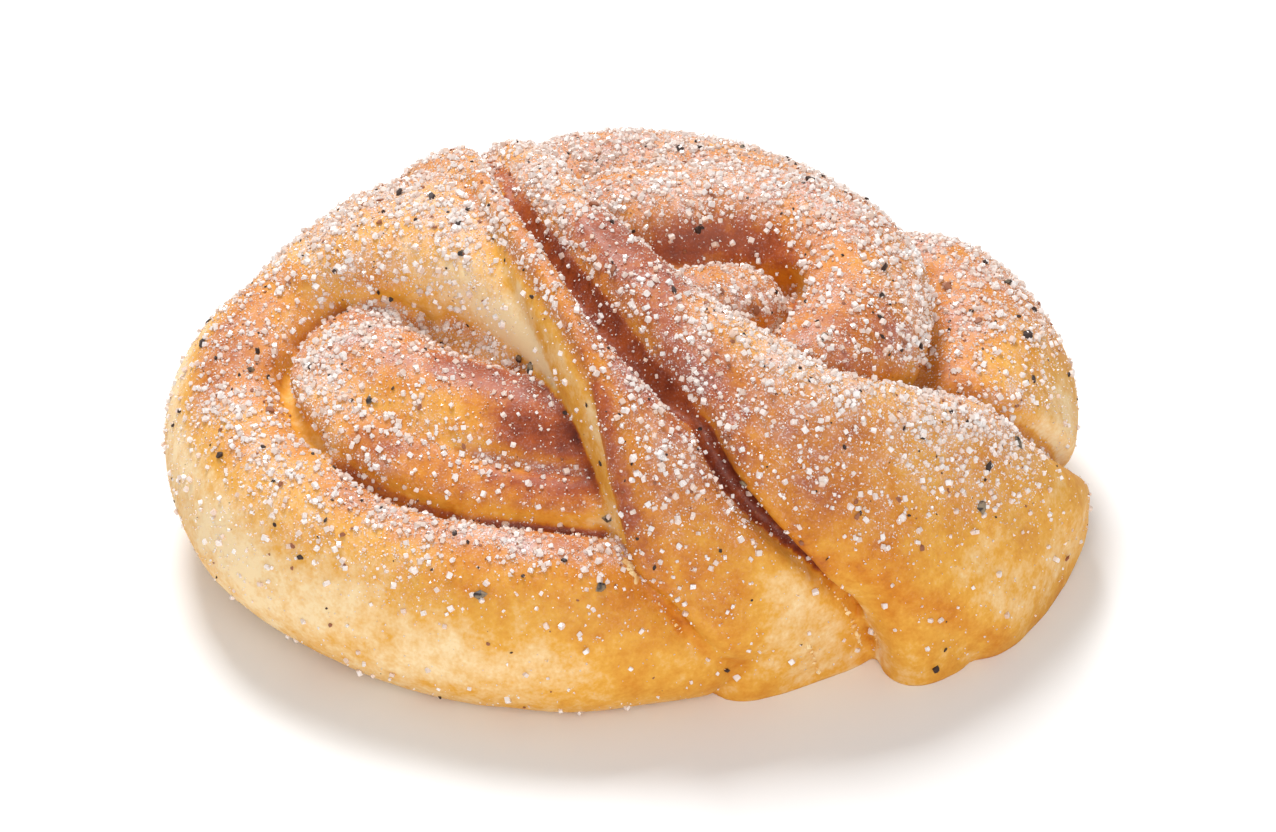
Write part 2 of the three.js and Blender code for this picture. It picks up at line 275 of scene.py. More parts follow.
# The larger pieces of cardamom: strand, share, side, length in mm.
LARGE_SEEDS = (
    ("strap_right", 0.875, 128, 1.7), ("strap_right", 0.85, 92, 1.8), ("ring_left", 0.30, 62, 1.6),
    ("ring_left", 0.22, 52, 1.5), ("tongue_high", 0.62, 88, 1.3), ("flap", 0.78, 2, 1.7),
    ("flap", 0.74, -4, 1.5), ("strap_left", 0.74, 108, 1.4), ("tongue_low", 0.20, 84, 1.7),
    ("coil_right", 0.86, 70, 1.5), ("ring_left", 0.66, 30, 1.3), ("flap", 0.56, 60, 1.2),
    ("ring_right", 0.45, 60, 1.4), ("lobe_right", 0.40, 70, 1.3), ("ring_back", 0.50, 80, 1.4),
)

# Uneven swelling of the dough: lump size in mm, share of the depth, seed.
SWELLINGS = ((11, 1, 1), (4.5, 0.5, 2), (1.7, 0.18, 6))
LATTICE = 32  # points along each edge of a lump pattern, which then repeats

# The stage, in metres: half the floor's side, the soft lights as name, place, size and power in
# watts, and the point that the camera looks at.
FLOOR_HALF = 3.0
LAMPS = (
    ("key", (-0.14, 0.40, 0.62), 0.26, 5.4),
    ("fill", (0.07, -0.62, 0.38), 0.60, 2.9),
)
LOOK_AT = (0.00125, -0.00907, 0.0183)


def smooth_step(low, high, values):
    """0 below low and 1 above high, along 3t^2 - 2t^3 between, with t the share of the way."""
    share = np.clip((values - low) / (high - low), 0, 1)
    return share * share * (3 - 2 * share)


def unit(vectors):
    """Each row over its own length."""
    return vectors / np.linalg.norm(vectors, axis=-1, keepdims=True)


def signed_power(values, power):
    """|v|^power with the sign of v, which turns a circle into a superellipse."""
    return np.sign(values) * np.abs(values) ** power


def through_stations(rows, shares):
    """A uniform Catmull-Rom curve through the rows, the end rows reflected past the ends.

    Between two rows it is the cubic with half the neighbours' difference as its slope.
    """
    rows = np.asarray(rows, float)
    padded = np.vstack([2 * rows[0] - rows[1], rows, 2 * rows[-1] - rows[-2]])
    places = np.clip(np.asarray(shares) * (len(rows) - 1), 0, len(rows) - 1 - 1e-9)
    first = places.astype(int)
    t = (places - first)[:, None]
    before, start, end, after = (padded[first + step] for step in range(4))
    slopes = (end - before) * t + (2 * before - 5 * start + 4 * end - after) * t**2
    return start + 0.5 * (slopes + (3 * start - 3 * end + after - before) * t**3)


def strand_sections(name, shares):
    """Centres, directions and half sizes of a strand's sections at shares of its length.

    Along is the curve's own direction. Out is the slope of the dome x^2/a^2 + y^2/b^2 + z^2/c^2,
    made square to along, and across is along x out. The tilt turns both about along.
    """
    units = np.array([LENGTH / 200, DEPTH / 200] + [HEIGHT / 100] * 3 + [math.pi / 180])
    stations = np.array(STRANDS[name]) * units
    step = 0.0025
    rows = through_stations(stations, shares)
    ahead = through_stations(stations, np.minimum(shares + step, 1))
    behind = through_stations(stations, np.maximum(shares - step, 0))
    along = unit(ahead[:, :3] - behind[:, :3])
    across = unit(np.cross(along, rows[:, :3] / HALF_AXES**2))
    out = np.cross(across, along)
    cosine, sine = np.cos(rows[:, 5:]), np.sin(rows[:, 5:])
    across, out = across * cosine + out * sine, out * cosine - across * sine
    return rows[:, :3], along, across, out, rows[:, 3:5]


def section_power(name):
    """The power that the strand's section is squared off by."""
    return FLAT_POWER if name in FLAT_STRANDS else ROUND_POWER


def strand_skin(name, shares, angles):
    """Points on a strand: centre + across w cos(a)^p + out h sin(a)^p, at each share and angle."""
    centres, _, across, out, half = strand_sections(name, shares)
    power = section_power(name)
    wide = signed_power(np.cos(angles), power)[..., None]
    high = signed_power(np.sin(angles), power)[..., None]
    return centres[:, None] + across[:, None] * half[:, None, :1] * wide + (
        out[:, None] * half[:, None, 1:] * high
    )


def closed_tube(rings, tips):
    """Vertices, quads and triangles of rings joined side by side, with a fan to a tip at each end.

    The rings run along the tube, and each goes round it from across to out.
    """
    count, sides = rings.shape[:2]
    vertices = np.vstack([rings.reshape(-1, 3), tips])
    ring, side = np.meshgrid(np.arange(count - 1), np.arange(sides), indexing="ij")
    following = (side + 1) % sides
    corners = (
        ring * sides + side,
        (ring + 1) * sides + side,
        (ring + 1) * sides + following,
        ring * sides + following,
    )
    quads = np.stack(corners, -1).reshape(-1, 4)
    around = np.arange(sides)
    ahead = (around + 1) % sides
    last = (count - 1) * sides
    first_fan = np.stack([np.full(sides, count * sides), around, ahead], 1)
    last_fan = np.stack([np.full(sides, count * sides + 1), last + ahead, last + around], 1)
    return vertices, quads, np.vstack([first_fan, last_fan])


def strand_tube(name, steps_per_station=12, sides=48, cap_rings=7):
    """A strand with rounded ends: its rings, and past each end rings that shrink by cos(a)
    while they move on by sin(a) times the section's smaller half size."""
    shares = np.linspace(0, 1, (len(STRANDS[name]) - 1) * steps_per_station + 1)
    angles = np.linspace(0, 2 * math.pi, sides, endpoint=False)
    rings = strand_skin(name, shares, angles)
    centres, along, _, _, half = strand_sections(name, shares)
    turns = np.linspace(0, math.pi / 2, cap_rings + 1)[1:]
    caps = []
    for end, sign in ((0, -1), (-1, 1)):
        reach = sign * half[end].min() * along[end]
        shrunk = (rings[end] - centres[end]) * np.cos(turns)[:, None, None]
        caps.append(centres[end] + shrunk + reach * np.sin(turns)[:, None, None])
    start, finish = caps
    tips = np.array([start[-1].mean(0), finish[-1].mean(0)])
    return closed_tube(np.concatenate([start[:-1][::-1], rings, finish[:-1]]), tips)


def core_dome(rings=40, sides=64):
    """The dough under the strands: an ellipsoid a sin(u) cos(v), b sin(u) sin(v), c cos(u)."""
    heights = np.linspace(0, math.pi, rings + 2)[1:-1]
    angles = np.linspace(0, 2 * math.pi, sides, endpoint=False)
    level, angle = np.meshgrid(heights, angles, indexing="ij")
    across = np.sin(level) * np.cos(angle)
    deep = np.sin(level) * np.sin(angle)
    axes = HALF_AXES * np.array(CORE_SHARES)
    grid = np.stack([across, deep, np.cos(level)], -1) * axes
    return closed_tube(grid[:, ::-1], np.array([[0, 0, axes[2]], [0, 0, -axes[2]]]))


def joined(pieces):
    """Several (vertices, quads, triangles) sets as one, each set's numbers moved past the last."""
    starts = np.cumsum([0] + [len(vertices) for vertices, _, _ in pieces[:-1]])
    vertices = np.vstack([piece[0] for piece in pieces])
    quads = np.vstack([piece[1] + start for piece, start in zip(pieces, starts)])
    triangles = np.vstack([piece[2] + start for piece, start in zip(pieces, starts)])
    return vertices, quads, triangles


def mesh_from(name, vertices, *face_sets):
    """A mesh from arrays of vertices and of faces, smooth-shaded."""
    mesh = bpy.data.meshes.new(name)
    sizes = np.concatenate([np.full(len(faces), faces.shape[1]) for faces in face_sets])
    corners = np.concatenate([faces.ravel() for faces in face_sets])
    mesh.vertices.add(len(vertices))
    mesh.loops.add(len(corners))
    mesh.polygons.add(len(sizes))
    mesh.vertices.foreach_set("co", np.asarray(vertices, np.float32).ravel())
    mesh.loops.foreach_set("vertex_index", corners.astype(np.int32))
    mesh.polygons.foreach_set("loop_start", np.r_[0, np.cumsum(sizes)[:-1]].astype(np.int32))
    mesh.polygons.foreach_set("use_smooth", np.ones(len(sizes), bool))
    mesh.update(calc_edges=True)
    mesh.validate()
    return mesh


def placed(name, mesh, material):
    """The mesh as an object of the scene, in the given material."""
    piece = bpy.data.objects.new(name, mesh)
    bpy.context.scene.collection.objects.link(piece)
    mesh.materials.clear()
    mesh.materials.append(material)
    return piece


def vertex_vectors(mesh, field):
    """Every vertex's place, for "co", or else its normal."""
    source = mesh.vertices if field == "co" else mesh.vertex_normals
    values = np.empty(len(mesh.vertices) * 3, np.float32)
    source.foreach_get("co" if field == "co" else "vector", values)
    return values.reshape(-1, 3).astype(float)


def neighbour_mean(mesh, values, rounds):
    """Each vertex's values replaced by the mean of its neighbours' and its own, round by round."""
    edges = np.empty(len(mesh.edges) * 2, np.int32)
    mesh.edges.foreach_get("vertices", edges)
    first, second = edges.reshape(-1, 2).T
    ends, others = np.r_[first, second], np.r_[second, first]
    count = len(mesh.vertices)
    share = 1 / (1 + np.bincount(ends, minlength=count))
    columns = values.reshape(count, -1).T.copy()
    for _ in range(rounds):
        for column in columns:
            column += np.bincount(ends, column[others], count)
            column *= share
    return columns.T.reshape(values.shape)


def lumps(points, size, seed):
    """Value noise, about -1 to 1: random numbers on a lattice of the given spacing, blended
    between lattice points by 3t^2 - 2t^3 along each axis."""
    table = np.random.default_rng(seed).uniform(-1, 1, (LATTICE, LATTICE, LATTICE))
    places = points / size + 100
    low = np.floor(places).astype(int)
    t = places - low
    t = t * t * (3 - 2 * t)
    total = np.zeros(len(points))
    for corner in np.ndindex(2, 2, 2):
        step = np.array(corner)
        weight = np.prod(np.where(step == 1, t, 1 - t), axis=1)
        total += weight * table[tuple(((low + step) % LATTICE).T)]
    return total


def cut_flat(mesh):
    """Cuts away what lies below the base and closes the cut with a flat face."""
    dough = bmesh.new()
    dough.from_mesh(mesh)
    everything = dough.verts[:] + dough.edges[:] + dough.faces[:]
    bmesh.ops.bisect_plane(
        dough, geom=everything, dist=1e-7, plane_co=(0, 0, 0), plane_no=(0, 0, -1), clear_outer=True
    )
    rim = [edge for edge in dough.edges if edge.is_boundary]
    bmesh.ops.holes_fill(dough, edges=rim, sides=0)
    flat = [face for face in dough.faces if len(face.verts) > 4]
    bmesh.ops.triangulate(dough, faces=flat)
    bmesh.ops.recalc_face_normals(dough, faces=dough.faces)
    dough.to_mesh(mesh)
    dough.free()


def drop_pockets(mesh):
    """Deletes the skins of pockets that are shut in between the strands.

    Each vertex starts with its own number, and both ends of each edge take the smaller of theirs
    until nothing changes, so each closed skin ends with one number. The topmost skin is kept.
    """
    edges = np.empty(len(mesh.edges) * 2, np.int32)
    mesh.edges.foreach_get("vertices", edges)
    first, second = edges.reshape(-1, 2).T
    numbers, before = np.arange(len(mesh.vertices)), None
    while not np.array_equal(numbers, before):
        before = numbers.copy()
        least = np.minimum(before[first], before[second])
        np.minimum.at(numbers, before[first], least)
        np.minimum.at(numbers, before[second], least)
        numbers = numbers[numbers]
    top = vertex_vectors(mesh, "co")[:, 2].argmax()
    dough = bmesh.new()
    dough.from_mesh(mesh)
    dough.verts.ensure_lookup_table()
    pockets = [dough.verts[i] for i in np.flatnonzero(numbers != numbers[top])]
    bmesh.ops.delete(dough, geom=pockets, context="VERTS")
    dough.to_mesh(mesh)
    dough.free()


def set_attribute(mesh, name, values):
    """Keeps one number a vertex under the name."""
    mesh.attributes.new(name, "FLOAT", "POINT").data.foreach_set("value", values.astype(np.float32))


def attribute(mesh, name):
    """The numbers kept under the name, one a vertex."""
    values = np.empty(len(mesh.vertices), np.float32)
    mesh.attributes[name].data.foreach_get("value", values)
    return values


def welded(mesh, voxel):
    """One skin round overlapping bodies, from a voxel remesh read back through the depsgraph."""
    lump = bpy.data.objects.new("dough", mesh)
    bpy.context.scene.collection.objects.link(lump)
    remesh = lump.modifiers.new("weld", "REMESH")
    remesh.mode = "VOXEL"
    remesh.voxel_size = voxel
    depsgraph = bpy.context.evaluated_depsgraph_get()
    skin = bpy.data.meshes.new_from_object(lump.evaluated_get(depsgraph))
    bpy.data.objects.remove(lump)
    return skin


def distance_outside(name, points):
    """How far points lie outside a strand, along the line from its nearest centre, and where.

    It is |p - c| (1 - 1/r). There r is 1 on the skin: the superellipse's measure across the
    strand, joined as a root of squares to the way along it past an end. Where is the share of
    the strand's length that the nearest centre is at.
    """
    shares = np.linspace(0, 1, STRAND_STEPS + 1)
    centres, along, across, out, half = strand_sections(name, shares)
    nearest = ((centres**2).sum(1) - 2 * points @ centres.T).argmin(1)
    inner = points - centres[nearest]
    wide = np.abs((inner * across[nearest]).sum(1)) / half[nearest, 0]
    high = np.abs((inner * out[nearest]).sum(1)) / half[nearest, 1]
    past = (inner * along[nearest]).sum(1) / half[nearest].min(1)
    power = 2 / section_power(name)
    measure = np.sqrt((wide**power + high**power) ** (2 / power) + past**2)
    return np.linalg.norm(inner, axis=1) * (1 - 1 / measure), shares[nearest]


def along_part(share, start, end):
    """1 on the part of a strand from start to end, fading there, and still 1 past its tips."""
    weight = np.ones(len(share))
    if start > 0:
        weight = smooth_step(start - CREASE_FADE, start + CREASE_FADE, share)
    if end < 1:
        weight = weight * (1 - smooth_step(end - CREASE_FADE, end + CREASE_FADE, share))
    return weight


def draw_in(mesh):
    """Moves the skin in at each crease, and swells the upper strand's edge beside it.

    The move is depth x exp(-(d / width)^2) along the normal, where d is the distances from both
    strands added. It leans to the left by the row's share.
    """
    points, normals = vertex_vectors(mesh, "co"), vertex_vectors(mesh, "normal")
    outside = {name: distance_outside(name, points) for name in STRANDS}
    sunk, leant, swollen = (np.zeros(len(points)) for _ in range(3))
    for upper, lower, start, end, depth, width, lip, lean, _, _ in CREASES:
        above, share = np.abs(outside[upper][0]) / MM, outside[upper][1]
        below = np.abs(outside[lower][0]) / MM
        active = along_part(share, start, end)
        distance = (above + below) / width
        drawn = active * depth * np.exp(-(distance**2))
        leant = np.where(drawn > sunk, lean * drawn, leant)
        sunk = np.maximum(sunk, drawn)
        edge = np.exp(-((distance - LIP_PLACE) ** 2) - (above / LIP_REACH) ** 2)
        swollen = np.maximum(swollen, active * lip * edge)
    moved = points + normals * ((swollen - sunk) * MM)[:, None]
    moved[:, 0] -= leant * MM
    mesh.vertices.foreach_set("co", moved.ravel())
    mesh.update()


def band_weights(points, band, to_box):
    """How near each point is to a band: exp(-(distance / reach)^2), to the band's nearest point."""
    name, start, end, side, reach = band[:5]
    shares = np.linspace(start, end, BAND_PLACES)
    line = to_box(strand_skin(name, shares, np.radians([side]))[:, 0])
    nearest = np.full(len(points), np.inf)
    for place in line:
        nearest = np.minimum(nearest, ((points - place) ** 2).sum(1))
    return np.exp(-nearest / (reach * MM) ** 2)


def bake_and_dust(mesh, to_box, from_box):
    """Browning, partly painted shade, and sugar on every vertex.

    Browning grows with how far up the skin faces, with its height and with how far it swells.
    Sugar lies where the skin faces up. Each band then draws both towards its own values, the
    more so the nearer it is: v + w (target - v), on its own strand's skin only. Some bands paint
    shade into walls and grooves, or light onto the flap's wall. Ridges brown a little more, and
    small hollows darken as painted shade. Each crease draws both towards its own values, the more
    so the deeper a point lies in both strands, and in the darker creases that is partly painted
    shade. Last come mottles.
    """
    points, normals = vertex_vectors(mesh, "co"), vertex_vectors(mesh, "normal")
    near = neighbour_mean(mesh, points, 12)
    wide = neighbour_mean(mesh, near, 110)
    bulge = ((points - near) * normals).sum(1) / MM
    swell = ((points - wide) * normals).sum(1) / MM
    height = points[:, 2] / HEIGHT
    up = smooth_step(-0.2, 0.95, normals[:, 2])
    browning_and_shade = 0.10 + 0.14 * up + 0.16 * smooth_step(0.1, 0.9, height) + 0.1 * np.clip(swell, -1, 1)
    sugar = up * (0.06 + 0.4 * smooth_step(0.3, 0.75, height))
    outside, share = {}, {}
    for name in STRANDS:
        outside[name], share[name] = distance_outside(name, from_box(points))
    least = np.min(list(outside.values()), axis=0)
    for band in BANDS:
        weight = band_weights(points, band, to_box)
        weight *= np.exp(-(((outside[band[0]] - least) / OWN_SKIN) ** 2))
        browning_and_shade += weight * (band[5] - browning_and_shade)
        sugar += weight * (band[6] - sugar)
    # Small hollows darken as painted shade; ridges brown a little more.
    browning_and_shade += 0.45 * np.clip(-bulge - 0.06, 0, 0.5) + 0.25 * np.clip(bulge - 0.04, 0, 0.2)
    # Crease rows pull towards their browning, which in the darker creases is partly painted shade.
    for upper, lower, start, end, depth, _, _, _, brown, sweet in CREASES:
        inside = -np.maximum(outside[upper], outside[lower]) / MM
        weight = smooth_step(0.1, 0.25 + 0.2 * depth, inside)
        weight *= along_part(share[upper], start, end)
        browning_and_shade += weight * (brown - browning_and_shade)
        sugar += weight * (sweet - sugar)
    browning_and_shade += 0.05 * lumps(points, 7 * MM, 3) + 0.04 * lumps(points, 2.5 * MM, 4)
    sugar *= 1 + 0.45 * lumps(points, 4 * MM, 5) + 0.3 * lumps(points, 1.6 * MM, 7)
    set_attribute(mesh, "browning_and_shade", np.clip(browning_and_shade, -0.2, 1))
    set_attribute(mesh, "sugar", np.clip(sugar, 0, 1) * smooth_step(-0.35, 0.15, normals[:, 2]))


def linear(red, green, blue):
    """Display values of 0 to 255 as the linear values that colours are stored in."""
    shares = [value / 255 for value in (red, green, blue)]
    return tuple(s / 12.92 if s <= 0.04045 else ((s + 0.055) / 1.055) ** 2.4 for s in shares)


def new_material(name, **sockets):
    """A material with the given values on its shader, its tree and the shader."""
    material = bpy.data.materials.new(name)
    material.use_nodes = True
    shader = material.node_tree.nodes["Principled BSDF"]
    for socket, value in sockets.items():
        shader.inputs[socket.replace("_", " ")].default_value = value
    return material, material.node_tree, shader


def noise_node(tree, size, detail=2.0, roughness=0.5):
    """Noise on Object coordinates, with lumps of about the given size in metres."""
    place = tree.nodes.new("ShaderNodeTexCoord")
    noise = tree.nodes.new("ShaderNodeTexNoise")
    noise.inputs["Scale"].default_value = 1 / size
    noise.inputs["Detail"].default_value = detail
    noise.inputs["Roughness"].default_value = roughness
    tree.links.new(place.outputs["Object"], noise.inputs["Vector"])
    return noise.outputs["Fac"]


def math_node(tree, operation, first, second, clamp=False):
    """One step of arithmetic on two numbers or outputs."""
    node = tree.nodes.new("ShaderNodeMath")
    node.operation = operation
    node.use_clamp = clamp
    for socket, value in zip(node.inputs, (first, second)):
        if isinstance(value, (int, float)):
            socket.default_value = value
        else:
            tree.links.new(value, socket)
    return node.outputs[0]


def ranged(tree, value, from_low, from_high, to_low=0.0, to_high=1.0):
    """The value's share of the way from from_low to from_high, laid on to_low to to_high."""
    node = tree.nodes.new("ShaderNodeMapRange")
    node.interpolation_type = "SMOOTHSTEP"
    settings = (from_low, from_high, to_low, to_high)
    for socket, setting in zip(("From Min", "From Max", "To Min", "To Max"), settings):
        node.inputs[socket].default_value = setting
    tree.links.new(value, node.inputs["Value"])
    return node.outputs["Result"]


def mixed(tree, factor, first, second):
    """The first colour at factor 0 and the second at 1."""
    node = tree.nodes.new("ShaderNodeMix")
    node.data_type = "RGBA"
    tree.links.new(factor, node.inputs["Factor"])
    for socket, value in (("A", first), ("B", second)):
        target = [i for i in node.inputs if i.name == socket and i.type == "RGBA"][0]
        if isinstance(value, tuple):
            target.default_value = (*value, 1)
        else:
            tree.links.new(value, target)
    return [o for o in node.outputs if o.type == "RGBA"][0]


def read_attribute(tree, name):
    """The number that the mesh keeps under the name."""
    node = tree.nodes.new("ShaderNodeAttribute")
    node.attribute_name = name
    return node.outputs["Fac"]


def crust_material(settings):
    """Baked dough: a ramp from pale to nearly black over the stored bake level, which also holds
    painted shade in hollows and creases, and mottles of three sizes, under a haze of sugar dust in
    fine dots."""
    material, tree, shader = new_material(
        "crust",
        Specular_IOR_Level=0.28,
        Subsurface_Weight=0.06,
        Subsurface_Radius=(1.0, 0.5, 0.25),
        Subsurface_Scale=1.5 * MM,
    )
    level = read_attribute(tree, "browning_and_shade")
    for size, amount in ((7 * MM, 0.16), (1.6 * MM, 0.16), (0.45 * MM, 0.1)):
        mottle = math_node(tree, "SUBTRACT", noise_node(tree, size, 3), 0.5)
        level = math_node(tree, "ADD", level, math_node(tree, "MULTIPLY", mottle, amount * 2))
    ramp = tree.nodes.new("ShaderNodeValToRGB")
    stops = (
        (0.0, settings.pale),
        (0.22, settings.straw),
        (0.42, settings.golden),
        (0.62, settings.brown),
        (0.82, settings.dark),
        (1.0, settings.darkest),
    )
    for place, _ in stops[1:-1]:
        ramp.color_ramp.elements.new(place)
    for element, (place, colour) in zip(ramp.color_ramp.elements, stops):
        element.position = place
        element.color = (*colour, 1)
    tree.links.new(level, ramp.inputs["Fac"])
    dust = read_attribute(tree, "sugar")
    dots = ranged(tree, noise_node(tree, 0.26 * MM, 1), 0.54, 0.66)
    patches = ranged(tree, noise_node(tree, 2.2 * MM, 3, 0.6), 0.3, 0.7, 0.35, 1.0)
    haze = math_node(tree, "MULTIPLY", dust, patches)
    thin_film = math_node(tree, "MULTIPLY", haze, 0.14)
    thick_film = math_node(tree, "MULTIPLY", math_node(tree, "MULTIPLY", haze, haze), 0.36)
    film = math_node(tree, "ADD", thin_film, thick_film)
    grains = math_node(tree, "MULTIPLY", haze, dots)
    cover = math_node(tree, "ADD", film, math_node(tree, "MULTIPLY", grains, 0.8), clamp=True)
    colour = mixed(tree, cover, ramp.outputs["Color"], tuple(settings.dust))
    tree.links.new(colour, shader.inputs["Base Color"])
    tree.links.new(ranged(tree, level, 0.2, 0.8, 0.62, 0.42), shader.inputs["Roughness"])
    bump = tree.nodes.new("ShaderNodeBump")
    bump.inputs["Strength"].default_value = 0.6
    bump.inputs["Distance"].default_value = 0.12 * MM
    raised = math_node(tree, "MULTIPLY", dots, math_node(tree, "MULTIPLY", dust, 0.6))
    grain = math_node(tree, "ADD", noise_node(tree, 1.1 * MM, 4, 0.6), raised)
    tree.links.new(grain, bump.inputs["Height"])
    tree.links.new(bump.outputs["Normal"], shader.inputs["Normal"])
    return material


def resting_turns(rng, normals, lean):
    """Turns that set a body's z along the skin's normal, spun about it and leant by some noise."""
    up = unit(normals + rng.normal(size=normals.shape) * lean)
    side = unit(np.cross(up, rng.normal(size=up.shape)))
    return np.stack([side, np.cross(up, side), up], -1)


def strewn(mesh, density, count, rng):
    """Points picked on the skin, each triangle as likely as its area times its density."""
    mesh.calc_loop_triangles()
    corners = np.empty(len(mesh.loop_triangles) * 3, np.int32)
    mesh.loop_triangles.foreach_get("vertices", corners)
    corners = corners.reshape(-1, 3)
    points, normals = vertex_vectors(mesh, "co"), vertex_vectors(mesh, "normal")
    a, b, c = (points[corners[:, i]] for i in range(3))
    weights = np.linalg.norm(np.cross(b - a, c - a), axis=1) * density[corners].mean(1)
    chosen = rng.choice(len(corners), count, p=weights / weights.sum())
    shares = rng.dirichlet((1, 1, 1), count)[..., None]
    places = (points[corners[chosen]] * shares).sum(1)
    return places, unit((normals[corners[chosen]] * shares).sum(1))


def off_floor(mesh):
    """0 near the base, 1 from a little above it, so that nothing is strewn underneath."""
    return smooth_step(1.2 * MM, 3 * MM, vertex_vectors(mesh, "co")[:, 2])


def template(points):
    """The convex hull of some points, as vertices and triangles."""
    hull = bmesh.new()
    for point in points:
        hull.verts.new(point)
    bmesh.ops.convex_hull(hull, input=hull.verts)
    bmesh.ops.triangulate(hull, faces=hull.faces)
    hull.verts.index_update()
    bmesh.ops.recalc_face_normals(hull, faces=hull.faces)
    vertices = np.array([vertex.co[:] for vertex in hull.verts])
    triangles = np.array([[vertex.index for vertex in face.verts] for face in hull.faces])
    hull.free()
    return vertices, triangles


def copies(name, shape, places, turns, sizes):
    """The template at every place: place + turn (size x vertex), all in one mesh."""
    vertices, triangles = shape
    bodies = places[:, None] + np.einsum("nij,nkj->nki", turns, vertices * sizes[:, None])
    starts = np.arange(len(places))[:, None, None] * len(vertices)
    mesh = mesh_from(name, bodies.reshape(-1, 3), (triangles + starts).reshape(-1, 3))
    mesh.polygons.foreach_set("use_smooth", np.zeros(len(mesh.polygons), bool))
    return mesh


def chamfered_cube(chamfer):
    """The corners (1, 1, 1 - c), (1, 1 - c, 1) and (1 - c, 1, 1) of a cube, with every sign."""
    signs = np.array(list(np.ndindex(2, 2, 2))) * 2 - 1
    corner = 1 - chamfer * np.eye(3)
    return (signs[:, None] * corner).reshape(-1, 3)


def on_skin(piece, name, shares, side):
    """The skin's nearest points and normals to places on one side of a strand."""
    places = strand_skin(name, np.atleast_1d(shares), np.radians([side]))[:, 0]
    found = [piece.closest_point_on_mesh(place) for place in places]
    return np.array([hit[1] for hit in found]), np.array([hit[2] for hit in found])


class CrustSettings(PropertyGroup):
    voxel: FloatProperty(
        name="Skin Detail",
        description="Length of the skin's mesh edges",
        default=0.55 * MM,
        min=0.4 * MM,
        subtype="DISTANCE",
    )
    softening: IntProperty(
        name="Softening", description="Rounds that soften where strands meet", default=2
    )
    lumpiness: FloatProperty(
        name="Lumpiness",
        description="Depth of the dough's uneven swelling",
        default=0.25 * MM,
        subtype="DISTANCE",
    )
    pale: FloatVectorProperty(
        name="Pale", description="Least baked dough", default=linear(242, 214, 166), subtype="COLOR"
    )
    straw: FloatVectorProperty(
        name="Straw", description="Lightly baked", default=linear(226, 164, 62), subtype="COLOR"
    )
    golden: FloatVectorProperty(
        name="Golden", description="Golden crust", default=linear(206, 126, 20), subtype="COLOR"
    )
    brown: FloatVectorProperty(
        name="Brown", description="Brown crust", default=linear(162, 74, 20), subtype="COLOR"
    )
    dark: FloatVectorProperty(
        name="Dark", description="Well baked crest", default=linear(116, 44, 18), subtype="COLOR"
    )
    darkest: FloatVectorProperty(
        name="Darkest", description="Nearly burnt", default=linear(78, 26, 12), subtype="COLOR"
    )
    dust: FloatVectorProperty(
        name="Dust", description="Sugar dust", default=linear(242, 224, 226), subtype="COLOR"
    )


class SugarSettings(PropertyGroup):
    coarse: IntProperty(name="Coarse", description="Crystals in each of two lots", default=4000)
    coarse_size: FloatProperty(
        name="Coarse Size", description="Length of a crystal", default=0.52 * MM, subtype="DISTANCE"
    )
    middling: IntProperty(
        name="Middling", description="Middling grains in each of two lots", default=12000
    )
    middling_size: FloatProperty(
        name="Middling Size",
        description="Length of a middling grain",
        default=0.38 * MM,
        subtype="DISTANCE",
    )
    fine: IntProperty(name="Fine", description="Fine grains in each of two lots", default=17000)
    fine_size: FloatProperty(
        name="Fine Size",
        description="Length of a fine grain",
        default=0.24 * MM,
        subtype="DISTANCE",
    )
    clear: FloatVectorProperty(
        name="Clear",
        description="Clear grains, tinted by the crust",
        default=linear(238, 206, 184),
        subtype="COLOR",
    )
    cloudy: FloatVectorProperty(
        name="Cloudy", description="Cloudy grains", default=linear(255, 249, 246), subtype="COLOR"
    )


class CardamomSettings(PropertyGroup):
    seeds: IntProperty(name="Seeds", description="Crushed pieces of seed", default=620)
    seed_size: FloatProperty(
        name="Seed Size", description="Length of a piece", default=0.7 * MM, subtype="DISTANCE"
    )
    husks: IntProperty(name="Husks", description="Flecks of husk", default=520)
    seed_colour: FloatVectorProperty(
        name="Seed Colour", description="Seed", default=linear(54, 34, 26), subtype="COLOR"
    )
    husk_colour: FloatVectorProperty(
        name="Husk Colour", description="Husk", default=linear(150, 92, 62), subtype="COLOR"
    )


class CrumbSettings(PropertyGroup):
    size: FloatProperty(name="Size", description="Crumbs' size, as a share of the usual", default=1)
    colour: FloatVectorProperty(
        name="Colour", description="Torn dough", default=linear(243, 218, 166), subtype="COLOR"
    )


class StageSettings(PropertyGroup):
    elevation: FloatProperty(
        name="Elevation",
        description="Camera's height angle",
        default=math.radians(38),
        subtype="ANGLE",
    )
    distance: FloatProperty(
        name="Distance", description="Camera's distance", default=0.4877, subtype="DISTANCE"
    )
    lens: FloatProperty(
        name="Lens", description="Camera's focal length", default=117, unit="CAMERA"
    )
    world: FloatProperty(name="World", description="Strength of the even light", default=0.42)


